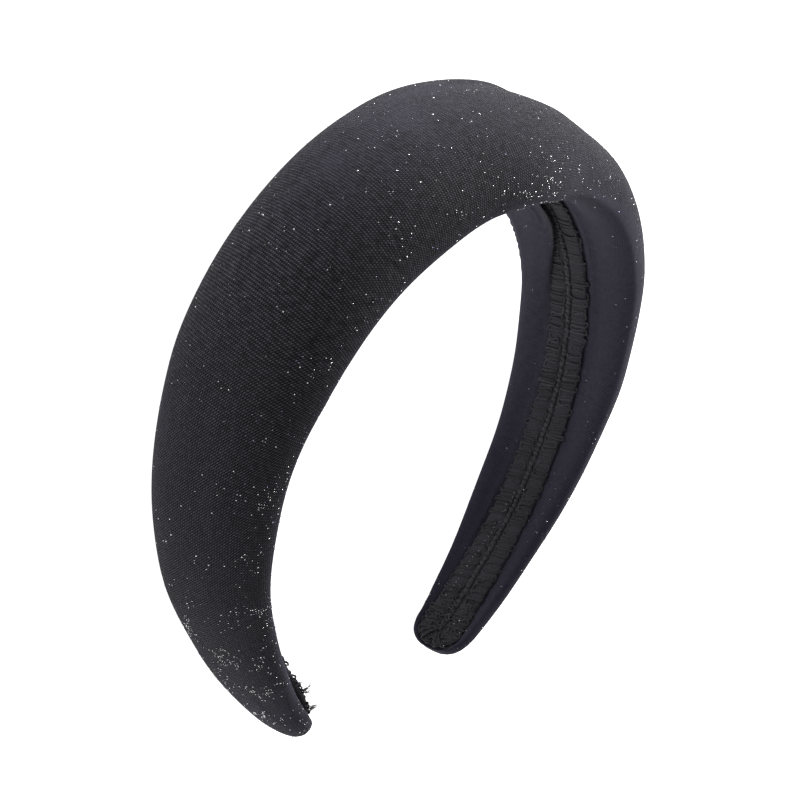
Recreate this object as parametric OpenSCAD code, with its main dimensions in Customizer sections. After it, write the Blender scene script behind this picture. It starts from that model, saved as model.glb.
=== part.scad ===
// Padded headband lying on its back edge: +Y towards the crown, the tips at -Y, +Z up,
// origin on the surface it rests on, under the middle of its box. Millimetres and degrees.

/* [Arch] */
// Radius of the band's line over the crown
crown_r = 77.5; // [60:0.5:95]
// Turn of the crown stretch on each side of the top
crown_turn = 39.5; // [28:0.5:46]
// Radius of the line over the shoulders
shoulder_r = 53.5; // [45:0.5:70]
// Turn of each shoulder stretch
shoulder_turn = 38.5; // [30:0.5:44]
// Radius of the line at the temples
temple_r = 63; // [50:0.5:80]
// Turn of each temple stretch
temple_turn = 38; // [26:0.5:44]
// Radius of the line of each arm, down to its tip
arm_r = 130; // [100:1:200]
// Length of each arm
arm_len = 56; // [40:1:70]

/* [Padded band] */
// Width of the band at the top of the crown
crown_w = 48; // [36:1:62]
// Width of the band where a tip starts to round off
tip_w = 16; // [15:0.5:24]
// Height of the padding above the line at the top of the crown
crown_h = 17; // [10:0.5:24]
// Height of the padding above the line at a tip
tip_h = 4.5; // [3:0.25:6]
// How far the padding rolls stand out past the trim at the top of the crown
crown_stand = 1.2; // [0.8:0.1:3]
// Depth of the covered edges beside the trim at a tip, below the line
tip_roll = 1.6; // [1:0.1:3]
// How far the back roll folds over the trim at the top of the crown
fold_reach = 4; // [2:0.5:5]
// Length over which a tip rounds off
tip_round = 11; // [8:0.5:16]
// How far the padding is pressed flat where it rests
rest_press = 1; // [0.5:0.1:2]

/* [Braid trim] */
// Width of the trim
trim_w = 11; // [8:0.5:12]
// Thickness of the trim at the ridge of each column
trim_t = 1.4; // [1:0.1:2]
// Distance from the end of the trim to the end of the band
trim_end = 2.5; // [2:0.5:8]
// Gap between the trim and the cover, under it and along both its sides
trim_gap = 0.3; // [0.2:0.1:0.6]

/* [Hidden] */

// Columns of an arc, and the arcs of one half of the line from the top of the crown to a tip
RADIUS = 0;
TURN = 1;
arcs = [
    [crown_r, crown_turn],
    [shoulder_r, shoulder_turn],
    [temple_r, temple_turn],
    [arm_r, degrees_of(arm_len, arm_r)]
];
half_len = total([for (arc = arcs) length_of(arc[TURN], arc[RADIUS])]);

// Depth of the padding rolls beside the trim at the top of the crown, below the line
crown_roll = trim_gap + trim_t + crown_stand;

// Columns of a section: share of the way from the top of the crown to a tip; width, height and
// roll depth as shares of the way from the tip's size to the crown's; share of the fold's reach
AT = 0;
WIDTH = 1;
HEIGHT = 2;
ROLL = 3;
FOLD = 4;
sections = [
    [0.00, 1.00, 1.00, 1.00, 1.00],
    [0.10, 0.92, 0.94, 0.98, 1.00],
    [0.20, 0.80, 0.87, 0.95, 1.00],
    [0.40, 0.64, 0.69, 0.85, 1.00],
    [0.46, 0.56, 0.62, 0.77, 0.95],
    [0.52, 0.50, 0.54, 0.66, 0.12],
    [0.60, 0.42, 0.44, 0.50, 0.00],
    [0.80, 0.23, 0.16, 0.20, 0.00],
    [0.93, 0.07, 0.03, 0.07, 0.00],
    [1.00, 0.00, 0.00, 0.00, 0.00]
];

// Columns of a point round a padding roll, from the band's edge to the trim's seat: its angle
// round the plain roll; then, for the fold of the back roll, how much of the way the point goes
// to its folded place, how far over the trim that is as a share of the fold's reach, and how
// deep as a share of the roll's depth
ROUND = 0;
GOES = 1;
OVER = 2;
DEEP = 3;
roll_points = [
    [16, 0.0, 0.00, 0.00],
    [32, 0.0, 0.00, 0.00],
    [48, 0.4, 0.00, 1.00],
    [60, 1.0, 0.30, 1.00],
    [70, 1.0, 1.00, 0.92],
    [78, 1.0, 0.70, 0.75],
    [85, 1.0, -0.05, 0.55],
    [90, 0.0, 0.00, 0.00]
];

// Roundness of the padding across the band: 1 is an ellipse, less is fuller at the corners
dome_power = 0.86;
// Bluntness of a rounded tip: 2 is an ellipse
tip_power = 3;
// Share of its full thickness that a tip keeps at its very end
tip_thin = 0.25;
// Widest that the seat of the trim may be, as a share of the band's width there
seat_share = 0.76;
// Thickness of the trim at its edges and in its groove, as a share of the ridges' thickness
groove_share = 0.55;
// Last section of a rounded end, as a share of the end's own length
end_reach = 0.985;

// Stations along a rounded end, and numbers of steps along half of the line, over the dome and
// over the ridges of the trim
end_shares = [0.4, 0.65, 0.82, 0.93, end_reach];
line_steps = 34;
dome_steps = 16;
trim_steps = 8;

// Sum of a list of numbers
function total(v, i = 0) = i < len(v) ? v[i] + total(v, i + 1) : 0;

// Degrees turned along a length of arc, and the length of an arc of so many degrees
function degrees_of(length, r) = length / r * 180 / PI;
function length_of(turn, r) = r * turn * PI / 180;

// Place on the line at a distance from the top of the crown: [sideways, height, slope in degrees].
// It walks along the arcs, adding up their chords until the distance is used up.
function line_at(s, i = 0, x = 0, z = 0, a = 0) =
    let (
        r = arcs[i][RADIUS],
        rest = s - length_of(arcs[i][TURN], r),
        ends_here = rest <= 0 || i == len(arcs) - 1,
        b = a + (ends_here ? degrees_of(s, r) : arcs[i][TURN]),
        x2 = x + r * (sin(b) - sin(a)),
        z2 = z + r * (cos(b) - cos(a))
    )
    ends_here ? [x2, z2, b] : line_at(rest, i + 1, x2, z2, b);

// Slope of a table's column at row i, level at the first row because the two halves mirror there
function slope(table, column, i) =
    let (j = min(i + 1, len(table) - 1))
    i == 0 ? 0 : (table[j][column] - table[i - 1][column]) / (table[j][AT] - table[i - 1][AT]);

// Smooth curve through the rows of a table's column, at share u
function smooth(table, column, u, i = 0) =
    let (
        low = table[i],
        high = table[i + 1],
        span = high[AT] - low[AT],
        t = (u - low[AT]) / span
    )
    t > 1 && i < len(table) - 2 ? smooth(table, column, u, i + 1) :
    low[column] * (1 + 2 * t) * pow(1 - t, 2) + high[column] * t * t * (3 - 2 * t)
    + span * t * (1 - t) * (slope(table, column, i) * (1 - t) - slope(table, column, i + 1) * t);

// Size between its tip value and its crown value at share u
function between(tip, crown, column, u) = tip + (crown - tip) * smooth(sections, column, u);

// Share of the full width left at a distance from the end of a rounded end of the given length
function end_width(from_end, length, power) =
    let (q = max(0, min(end_reach, 1 - from_end / length)))
    pow(1 - pow(q, power), 1 / power);

// Share of the full size at a tip
function tip_share(u) = end_width((1 - u) * half_len, tip_round, tip_power);

// Half width, height and roll depth of the band at share u, and half the width of the trim's seat
function half_w(u) = between(tip_w, crown_w, WIDTH, u) / 2 * tip_share(u);
function height(u) = between(tip_h, crown_h, HEIGHT, u) * max(tip_thin, tip_share(u));
function roll(u) = between(tip_roll, crown_roll, ROLL, u) * max(tip_thin, tip_share(u));
function half_seat(u) = min(trim_w / 2 + 2 * trim_gap, seat_share * half_w(u));

// Points round a padding roll as [out from the middle, outward], with the given share of the fold
function roll_outline(u, fold) =
    let (
        seat = half_seat(u),
        side = half_w(u) - seat,
        d = roll(u)
    )
    [for (p = roll_points)
        let (
            plain = [seat + side * cos(p[ROUND]), -d * sin(2 * p[ROUND])],
            folded = [seat - fold_reach * p[OVER], -d * p[DEEP]]
        )
        plain + (folded - plain) * p[GOES] * fold];

// Number to a power that keeps its sign
function signed_pow(v, power) = sign(v) * pow(abs(v), power);

// Outline of the band at share u as [across, outward]: a full dome over the outer side, and on
// the inner side two padding rolls with the flat seat of the trim between them
function band_outline(u) =
    let (
        w = half_w(u),
        h = height(u),
        dome = [for (i = [0:dome_steps])
            let (f = 180 - 180 * i / dome_steps)
            [w * signed_pow(cos(f), dome_power), h * signed_pow(sin(f), dome_power)]],
        back = roll_outline(u, smooth(sections, FOLD, u)),
        front = roll_outline(u, 0)
    )
    concat(
        dome,
        back,
        [for (i = [len(front) - 1:-1:0]) [-front[i][0], front[i][1]]]
    );

// Outline of the trim at share u as [across, outward]: flat towards the seat, and two ridges
// with a groove between them towards the head
function trim_outline(u) =
    let (
        w = trim_w / 2 * end_width((1 - u) * half_len - trim_end, trim_w / 2, 2),
        ridges = [for (i = [0:trim_steps])
            let (v = 1 - 2 * i / trim_steps)
            [w * v, -trim_gap - trim_t * (groove_share + (1 - groove_share) * abs(sin(180 * v)))]]
    )
    concat([[-w, -trim_gap], [w, -trim_gap]], ridges);

// Outline placed across the line at share u, negative on the left side, upright as worn
function ring(outline, u) =
    let (
        line = line_at(abs(u) * half_len),
        side = u < 0 ? -1 : 1
    )
    [for (p = outline)
        [side * (line[0] + p[1] * sin(line[2])), p[0], line[1] + p[1] * cos(line[2])]];

// Shares of the stations of one half, from the top towards an end whose last stretch rounds off
function stations(end, round_len) =
    let (
        turn_in = (end - round_len) / half_len
    )
    concat(
        [for (i = [0:line_steps]) turn_in * i / line_steps],
        [for (q = end_shares) turn_in + q * round_len / half_len]
    );

// Stations of both halves in one list, from the left end to the right end
function both(half) = concat([for (i = [len(half) - 1:-1:1]) -half[i]], half);

band_stations = both(stations(half_len, tip_round));
trim_stations = both(stations(half_len - trim_end, trim_w / 2));
band_worn = [for (u = band_stations) ring(band_outline(abs(u)), u)];
trim_worn = [for (u = trim_stations) ring(trim_outline(abs(u)), u)];

// Tilt at which the back edge touches the surface both at the crown and near the tips
rest_tilt = min([for (u = band_stations) if (u > 0)
    atan((half_w(0) - half_w(u)) / -line_at(u * half_len)[1])]);

// Points turned from the upright pose onto the back edge
function turned(rings) = [for (r = rings) [for (p = r) [
    p[0],
    p[2] * cos(rest_tilt) + p[1] * sin(rest_tilt),
    p[2] * sin(rest_tilt) - p[1] * cos(rest_tilt)
]]];

band_turned = turned(band_worn);
band_ys = [for (r = band_turned, p = r) p[1]];
band_zs = [for (r = band_turned, p = r) p[2]];
middle_y = (min(band_ys) + max(band_ys)) / 2;
floor_z = min(band_zs) + rest_press;

// Points laid on the surface, and pressed flat where they would go below it
function laid(rings) = [for (r = turned(rings)) [for (p = r)
    [p[0], p[1] - middle_y, max(0, p[2] - floor_z)]]];

// Middle of a ring
function middle(r) = [for (k = [0:2]) total([for (p = r) p[k]]) / len(r)];

// Closed skin over a row of rings, with a fan of faces over each end
module skin(rings) {
    count = len(rings);
    size = len(rings[0]);
    first = count * size;
    last = first + 1;
    walls = [for (k = [0:count - 2], j = [0:size - 1])
        let (
            a = k * size + j,
            b = k * size + (j + 1) % size
        )
        each [[a, b, b + size], [a, b + size, a + size]]];
    ends = [for (j = [0:size - 1])
        let (
            next = (j + 1) % size,
            top = (count - 1) * size
        )
        each [[first, next, j], [last, top + j, top + next]]];
    polyhedron(
        points = concat([for (r = rings) each r], [middle(rings[0]), middle(rings[count - 1])]),
        faces = concat(walls, ends),
        convexity = 8
    );
}

// Foam pad and its tight cloth cover, over the strip that springs it onto the head
module padded_band() {
    color("#2f2e33")
        skin(laid(band_worn));
}

// Braided trim along the middle of the inner side, in the valley between the padding rolls
module trim_braid() {
    color("#232226")
        skin(laid(trim_worn));
}

padded_band();
trim_braid();
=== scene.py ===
"""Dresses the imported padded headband: knitted cover with glitter threads, braided trim, studio and camera.

Sizes are in millimetres and degrees, as in the part's source, and become metres only when a mesh is made.
The worn frame has the band's line in its XZ plane with the crown on top; the row frame is that frame
laid on the back edge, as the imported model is.
"""

import logging
from collections.abc import Sequence
from dataclasses import dataclass
from enum import Enum
from functools import cached_property
from typing import Union

import bpy
import numpy as np
from mathutils import Matrix

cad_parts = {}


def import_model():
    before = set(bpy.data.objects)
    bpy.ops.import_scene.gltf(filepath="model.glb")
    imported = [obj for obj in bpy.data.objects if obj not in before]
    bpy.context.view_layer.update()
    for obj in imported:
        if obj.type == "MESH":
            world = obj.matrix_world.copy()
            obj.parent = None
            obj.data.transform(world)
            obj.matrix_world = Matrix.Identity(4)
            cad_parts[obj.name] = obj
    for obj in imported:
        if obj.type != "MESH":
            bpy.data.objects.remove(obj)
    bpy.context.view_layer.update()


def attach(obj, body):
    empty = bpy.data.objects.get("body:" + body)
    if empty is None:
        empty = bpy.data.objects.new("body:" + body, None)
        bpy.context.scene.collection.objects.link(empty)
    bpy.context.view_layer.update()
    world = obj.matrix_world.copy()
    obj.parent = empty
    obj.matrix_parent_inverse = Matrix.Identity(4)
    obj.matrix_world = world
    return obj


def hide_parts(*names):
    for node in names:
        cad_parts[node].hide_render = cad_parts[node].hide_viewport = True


Array = np.ndarray
Colour = tuple[float, float, float]
Tube = tuple[Array, list[Array], Array]
Fed = Union["Signal", float, Colour]

# MM is a millimetre in metres; MAP_UNIT, the unit of a piece's own map, is a decimetre in millimetres.
MM = 0.001
MAP_UNIT = 100
FULL_TURN = 2 * np.pi
CLOTH_UV = "cloth"
TONE = "tone"
LIGHT = "light"
SHADE = "shade"
log = logging.getLogger("headband")


class Side(Enum):
    """Which way across the band something lies, seen as worn."""

    FRONT = -1
    BACK = 1


# ---------------------------------------------------------------- numbers and meshes


def hermite(table: Array, column: int, x: Array) -> Array:
    """Smooth curve through a table's rows: a cubic between each two knots, level at the first one.

    Args:
        table: rows of knots, with the place of each in column 0.
        column: the column to read.
        x: places to read it at.

    Returns:
        The values, in the shape of x.
    """
    at, value = table[:, 0], table[:, column]
    slope = np.zeros(len(at))
    slope[1:-1] = (value[2:] - value[:-2]) / (at[2:] - at[:-2])
    slope[-1] = (value[-1] - value[-2]) / (at[-1] - at[-2])
    low = np.clip(np.searchsorted(at, x, side="left") - 1, 0, len(at) - 2)
    span = at[low + 1] - at[low]
    t = (x - at[low]) / span
    ends = value[low] * (1 + 2 * t) * (1 - t) ** 2 + value[low + 1] * smooth_step(t)
    return ends + span * t * (1 - t) * (slope[low] * (1 - t) - slope[low + 1] * t)


def signed_power(value: Array, power: float) -> Array:
    """A number to a power that keeps its sign."""
    return np.sign(value) * np.abs(value) ** power


def bell(distance: Array, width: float) -> Array:
    """A bump of height 1 that fades to a third at one width from its middle."""
    return np.exp(-((distance / width) ** 2))


def ramp(value: Array, start: float, length: float, top: float = 1.0) -> Array:
    """Straight rise from 0 at the start to 1 a length further on, cut off at the top."""
    return np.clip((value - start) / length, 0, top)


def smooth_step(t: Array) -> Array:
    """A share from 0 to 1 with a level start and end: 3 t squared minus 2 t cubed."""
    return t * t * (3 - 2 * t)


def hills(rows: Array, s: Array, a: Array) -> Array:
    """Sum of round hills and hollows: each one's height times a bell along the band and one across it.

    Args:
        rows: rows of place along, place across, half length, half breadth and height.
        s: signed distances along the band.
        a: distances across the cloth.

    Returns:
        The heights, in the common shape of s and a.
    """
    return sum(high * bell(s - at, long) * bell(a - side, broad) for at, side, long, broad, high in rows)


def drift(seed: int, size: tuple[float, float], x: Array, y: Array, waves: int = 9) -> Array:
    """Slow unevenness: a sum of sine waves in random directions, about as long as size, between -1 and 1.

    Args:
        seed: picks the waves.
        size: typical wave length along x and along y.
        x: places along the first direction.
        y: places along the second direction.
        waves: how many waves are added.

    Returns:
        The heights, in the common shape of x and y.
    """
    rng = np.random.default_rng(seed)
    angle, phase, scale = rng.uniform(0, FULL_TURN, (2, waves)).tolist() + [rng.uniform(0.7, 1.5, waves)]
    total = 0.0
    for turn, start, finer in zip(angle, phase, scale):
        along = np.cos(turn) * x / size[0] + np.sin(turn) * y / size[1]
        total = total + np.sin(FULL_TURN * finer * along + start)
    return total / np.sqrt(2.0 * waves)


def resample(curves: Array, shares: Array) -> Array:
    """Points at given shares of the arc length of many polylines at once.

    Every curve's running length is scaled to 0..1 and moved up by twice the curve's number, so one
    interpolation over the joined lists serves all curves.

    Args:
        curves: (curves, points, 2) array of polylines.
        shares: (points asked for,) array from 0 to 1.

    Returns:
        (curves, points asked for, 3) array: the two coordinates and the running length there.
    """
    step = np.linalg.norm(np.diff(curves, axis=1), axis=-1)
    run = np.concatenate([np.zeros((len(curves), 1)), np.cumsum(step, axis=1)], axis=1)
    lift = 2 * np.arange(len(curves))[:, None]
    known = (run / run[:, -1:] + lift).ravel()
    asked = (shares[None] + lift).ravel()
    columns = (curves[..., 0], curves[..., 1], run)
    found = [np.interp(asked, known, c.ravel()).reshape(len(curves), -1) for c in columns]
    return np.stack(found, axis=-1)


def grid_faces(rows: int, columns: int, around: bool) -> Array:
    """Corner numbers of the quads of a grid of points stored row by row.

    Args:
        rows: number of rows of points.
        columns: number of points in a row.
        around: whether the last column joins the first.

    Returns:
        (quads, 4) array of corner numbers.
    """
    row = np.arange(rows - 1)[:, None] * columns
    column = np.arange(columns if around else columns - 1)[None]
    beside = (column + 1) % columns
    quad = (row + column, row + beside, row + beside + columns, row + column + columns)
    return np.stack([np.broadcast_to(c, (rows - 1, column.size)).ravel() for c in quad], axis=1)


def make_mesh(
    name: str,
    points: Array,
    faces: list[Array],
    uv: Array | None = None,
    kept: dict[str, Array] | None = None,
) -> bpy.types.Object:
    """A smooth mesh object at the origin, from whole arrays.

    Args:
        name: name of the piece.
        points: (points, 3) array in metres.
        faces: arrays of corner numbers, each (faces, corners).
        uv: (corners in all, 2) array for the cloth's own map, in face order.
        kept: (points,) arrays by the name of the attribute that a finish reads.

    Returns:
        The new object, linked to the scene.
    """
    mesh = bpy.data.meshes.new(name)
    loops = np.concatenate([f.ravel() for f in faces]).astype(np.int32)
    totals = np.concatenate([np.full(len(f), f.shape[1]) for f in faces]).astype(np.int32)
    starts = np.concatenate([[0], np.cumsum(totals)[:-1]]).astype(np.int32)
    mesh.vertices.add(len(points))
    mesh.vertices.foreach_set("co", np.ascontiguousarray(points, np.float32).ravel())
    mesh.loops.add(len(loops))
    mesh.loops.foreach_set("vertex_index", loops)
    mesh.polygons.add(len(totals))
    mesh.polygons.foreach_set("loop_start", starts)
    mesh.polygons.foreach_set("use_smooth", np.ones(len(totals), bool))
    if uv is not None:
        layer = mesh.uv_layers.new(name=CLOTH_UV)
        layer.data.foreach_set("uv", np.ascontiguousarray(uv, np.float32).ravel())
    for attribute, values in (kept or {}).items():
        layer = mesh.attributes.new(attribute, "FLOAT", "POINT")
        layer.data.foreach_set("value", np.ascontiguousarray(values, np.float32))
    mesh.update(calc_edges=True)
    mesh.validate()
    piece = bpy.data.objects.new(name, mesh)
    bpy.context.scene.collection.objects.link(piece)
    return piece


def unit(vectors: Array) -> Array:
    """Vectors of the same direction and length 1."""
    return vectors / np.maximum(np.linalg.norm(vectors, axis=-1, keepdims=True), 1e-12)


def tube(path: Array, outward: Array, wide: Array, thick: Array, sides: int, closed: bool) -> Tube:
    """A thread: an ellipse carried along a path, flat side outward, capped at both ends if it is open.

    Point (i, j) is path i plus the ellipse's point at angle 2 pi j / sides, in the plane of the
    path's sideways and outward directions.

    Args:
        path: (points, 3) array.
        outward: (points, 3) array of directions that the thread's thickness follows.
        wide: half width at each point.
        thick: half thickness at each point.
        sides: number of points round the thread.
        closed: whether the end joins the start.

    Returns:
        Points, faces and the map of each face corner, which is running length in decimetres and
        angle in turns.
    """
    if closed:
        along = np.roll(path, -1, axis=0) - np.roll(path, 1, axis=0)
    else:
        along = np.gradient(path, axis=0)
    along = unit(along)
    sideways = unit(np.cross(along, outward))
    up = np.cross(along, sideways)
    turn = FULL_TURN * np.arange(sides) / sides
    ring = (sideways[:, None] * (wide[:, None] * np.cos(turn))[..., None]
            + up[:, None] * (thick[:, None] * np.sin(turn))[..., None])
    points = (path[:, None] + ring).reshape(-1, 3)
    rows = len(path) + closed
    quads = grid_faces(rows, sides, True) % len(points)
    run = np.concatenate([[0], np.cumsum(np.linalg.norm(np.diff(path, axis=0), axis=1))])
    run = np.append(run, run[-1] + (run[-1] - run[-2])) / (MM * MAP_UNIT)
    spread = grid_faces(rows, sides + 1, False)
    uv = np.stack([run[spread // (sides + 1)], spread % (sides + 1) / sides], axis=-1).reshape(-1, 2)
    if closed:
        return points, [quads], uv
    rim = np.arange(sides)
    caps = np.stack([rim[::-1], rim + len(points) - sides])
    return points, [quads, caps], np.concatenate([uv, np.zeros((caps.size, 2))])


def pose(axes: Array, place: Array) -> Matrix:
    """Matrix of an object at a place, with its three axes as columns."""
    return Matrix(np.block([[axes, place[:, None]], [0, 0, 0, 1]]).tolist())


def join_tubes(tubes: list[Tube]) -> Tube:
    """Points, faces and map of many open threads in one.

    Args:
        tubes: open threads with the same number of sides.

    Returns:
        Points, side quads and end caps, and the map of each face corner.
    """
    starts = np.cumsum([0] + [len(points) for points, _, _ in tubes])
    quads, caps = (
        np.concatenate([faces[kind] + start for (_, faces, _), start in zip(tubes, starts)])
        for kind in (0, 1)
    )
    sides = np.concatenate([uv[:faces[0].size] for _, faces, uv in tubes])
    ends = np.concatenate([uv[faces[0].size:] for _, faces, uv in tubes])
    return np.concatenate([points for points, _, _ in tubes]), [quads, caps], np.concatenate([sides, ends])


# ---------------------------------------------------------------- the headband's form


@dataclass(frozen=True)
class BandForm:
    """Sizes of the headband and the formulas of its solids, the same as in the part's source.

    Only the fold over the trim is its own here: it fades out sooner, as it does in the photograph.
    """

    crown_r: float = 77.5
    crown_turn: float = 39.5
    shoulder_r: float = 53.5
    shoulder_turn: float = 38.5
    temple_r: float = 63.0
    temple_turn: float = 38.0
    arm_r: float = 130.0
    arm_len: float = 56.0
    crown_w: float = 48.0
    tip_w: float = 16.0
    crown_h: float = 17.0
    tip_h: float = 4.5
    crown_stand: float = 1.2
    tip_roll: float = 1.6
    fold_reach: float = 4.0
    tip_round: float = 11.0
    rest_press: float = 1.0
    trim_w: float = 11.0
    trim_t: float = 1.4
    trim_end: float = 2.5
    trim_gap: float = 0.3
    dome_power: float = 0.86
    tip_power: float = 3.0
    tip_thin: float = 0.25
    seat_share: float = 0.76
    dome_steps: int = 16
    line_rings: int = 34
    end_rings: tuple[float, ...] = (0.4, 0.65, 0.82, 0.93, 0.985)

    WIDTH, HEIGHT, ROLL = 1, 2, 3
    GOES, OVER, DEEP = 1, 2, 3

    @cached_property
    def sections(self) -> Array:
        """Rows of share from the crown to a tip, then width, height and roll depth as shares.

        Returns:
            (knots, 4) array.
        """
        return np.array([
            [0.00, 1.00, 1.00, 1.00],
            [0.10, 0.92, 0.94, 0.98],
            [0.20, 0.80, 0.87, 0.95],
            [0.40, 0.64, 0.69, 0.85],
            [0.46, 0.56, 0.62, 0.77],
            [0.52, 0.50, 0.54, 0.66],
            [0.60, 0.42, 0.44, 0.50],
            [0.80, 0.23, 0.16, 0.20],
            [0.93, 0.07, 0.03, 0.07],
            [1.00, 0.00, 0.00, 0.00],
        ])

    @cached_property
    def fold_rows(self) -> Array:
        """Rows of share from the crown to a tip and how much of the fold is there."""
        share = [0.0, 0.30, 0.36, 0.40, 0.44, 0.49, 0.56, 1.0]
        return np.stack([share, [1.0, 1.0, 0.8, 0.5, 0.25, 0.07, 0.0, 0.0]], axis=1)

    @cached_property
    def roll_points(self) -> Array:
        """Rows of angle round a padding roll, then how far a folded point goes, over the trim and deep.

        Returns:
            (points, 4) array, with the angle in degrees.
        """
        return np.array([
            [16, 0.0, 0.00, 0.00],
            [32, 0.0, 0.00, 0.00],
            [48, 0.4, 0.00, 1.00],
            [60, 1.0, 0.30, 1.00],
            [70, 1.0, 1.00, 0.92],
            [78, 1.0, 0.70, 0.75],
            [85, 1.0, -0.05, 0.55],
            [90, 0.0, 0.00, 0.00],
        ])

    @cached_property
    def arcs(self) -> tuple[Array, Array, Array, Array, Array]:
        """Radius, start length, slope, and place sideways and in height, of each arc of half the line.

        Returns:
            The five lists; the last four have one more entry, for the tip.
        """
        radius = np.array([self.crown_r, self.shoulder_r, self.temple_r, self.arm_r])
        turn = np.radians([self.crown_turn, self.shoulder_turn, self.temple_turn])
        turn = np.append(turn, self.arm_len / self.arm_r)
        slope = np.concatenate([[0.0], np.cumsum(turn)])
        length = np.concatenate([[0.0], np.cumsum(radius * turn)])
        x = np.concatenate([[0.0], np.cumsum(radius * np.diff(np.sin(slope)))])
        z = np.concatenate([[0.0], np.cumsum(radius * np.diff(np.cos(slope)))])
        return radius, length, slope, x, z

    @property
    def half_len(self) -> float:
        """Length of the line from the top of the crown to a tip."""
        return float(self.arcs[1][-1])

    def line(self, s: Array) -> tuple[Array, Array, Array]:
        """Place on the line at a distance from the crown's top: sideways, height, slope in radians.

        On an arc of radius R that starts at slope a, the place moves by R (sin b - sin a) sideways and
        R (cos b - cos a) in height, where b is a plus the distance on the arc over R.

        Args:
            s: distances from the crown's top.

        Returns:
            Place sideways, height and slope.
        """
        radius, length, slope, x, z = self.arcs
        i = np.clip(np.searchsorted(length, s, side="right") - 1, 0, 3)
        a, r = slope[i], radius[i]
        b = a + (s - length[i]) / r
        return x[i] + r * (np.sin(b) - np.sin(a)), z[i] + r * (np.cos(b) - np.cos(a)), b

    def worn(self, s: Array, across: Array, out: Array) -> Array:
        """Worn-frame points at a signed distance along the line, a distance across and one outward.

        Args:
            s: signed distances along the line.
            across: distances across the band.
            out: distances outward from the line.

        Returns:
            (..., 3) array of points.
        """
        x, z, slope = self.line(np.abs(s))
        side = np.where(s < 0, -1.0, 1.0)
        x, y, z = np.broadcast_arrays(side * (x + out * np.sin(slope)), across, z + out * np.cos(slope))
        return np.stack([x, y, z], axis=-1)

    def between(self, tip: float, crown: float, column: int, u: Array) -> Array:
        """Size between its tip value and its crown value at share u."""
        return tip + (crown - tip) * hermite(self.sections, column, u)

    def end_width(self, from_end: Array, length: float, power: float) -> Array:
        """Share of the full width left at a distance from the end of a rounded end."""
        q = np.clip(1 - from_end / length, 0.0, 1.0)
        return (1 - q ** power) ** (1 / power)

    def tip_share(self, u: Array) -> Array:
        """Share of the full size at a tip."""
        return self.end_width((1 - u) * self.half_len, self.tip_round, self.tip_power)

    def half_w(self, u: Array) -> Array:
        """Half the width of the band at share u."""
        return self.between(self.tip_w, self.crown_w, self.WIDTH, u) / 2 * self.tip_share(u)

    def thickness_share(self, u: Array) -> Array:
        """Share of the full thickness at a tip, which never gets quite thin."""
        return np.maximum(self.tip_thin, self.tip_share(u))

    def height(self, u: Array) -> Array:
        """Height of the padding above the line at share u."""
        return self.between(self.tip_h, self.crown_h, self.HEIGHT, u) * self.thickness_share(u)

    def roll(self, u: Array) -> Array:
        """Depth of the padding rolls beside the trim at share u."""
        deepest = self.trim_gap + self.trim_t + self.crown_stand
        return self.between(self.tip_roll, deepest, self.ROLL, u) * self.thickness_share(u)

    def half_seat(self, u: Array) -> Array:
        """Half the width of the trim's seat at share u."""
        return np.minimum(self.trim_w / 2 + 2 * self.trim_gap, self.seat_share * self.half_w(u))

    def fold(self, u: Array) -> Array:
        """How much of the fold is there at share u, from 0 to 1."""
        return hermite(self.fold_rows, 1, u)

    def dome_outline(self, u: Array, steps: int) -> Array:
        """Outer side of the section, from the front edge to the back edge, as (across, outward).

        It is a fuller ellipse: half width times cos f and height times sin f, each to the dome's power.

        Args:
            u: shares from the crown to a tip.
            steps: number of steps from edge to edge.

        Returns:
            (shares, steps + 1, 2) array.
        """
        f = np.linspace(np.pi, 0, steps + 1)
        across = self.half_w(u)[:, None] * signed_power(np.cos(f), self.dome_power)
        out = self.height(u)[:, None] * signed_power(np.maximum(np.sin(f), 0), self.dome_power)
        return np.stack([across, out], axis=-1)

    def roll_outline(self, u: Array, angles: Array, side: Side) -> Array:
        """One padding roll of the section, from the band's edge to the trim's seat.

        A plain roll is at the seat plus its own width times cos r across, and its depth times sin 2r
        inward; the back roll moves from there to the folded points by the share of the fold.

        Args:
            u: shares from the crown to a tip.
            angles: angles round the roll in degrees, from 0 to 90.
            side: the front or the back roll.

        Returns:
            (shares, angles, 2) array of (across, outward).
        """
        seat = self.half_seat(u)[:, None]
        deep = self.roll(u)[:, None]
        own = self.half_w(u)[:, None] - seat
        r = np.radians(angles)
        plain = np.stack([seat + own * np.cos(r), -deep * np.sin(2 * r)], axis=-1)
        if side is Side.BACK:
            columns = (self.GOES, self.OVER, self.DEEP)
            goes, over, low = (hermite(self.roll_points, column, angles) for column in columns)
            folded = np.stack([seat - self.fold_reach * over, -deep * low], axis=-1)
            plain = plain + (folded - plain) * (goes * self.fold(u)[:, None])[..., None]
        return plain * np.array([side.value, 1])

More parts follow.
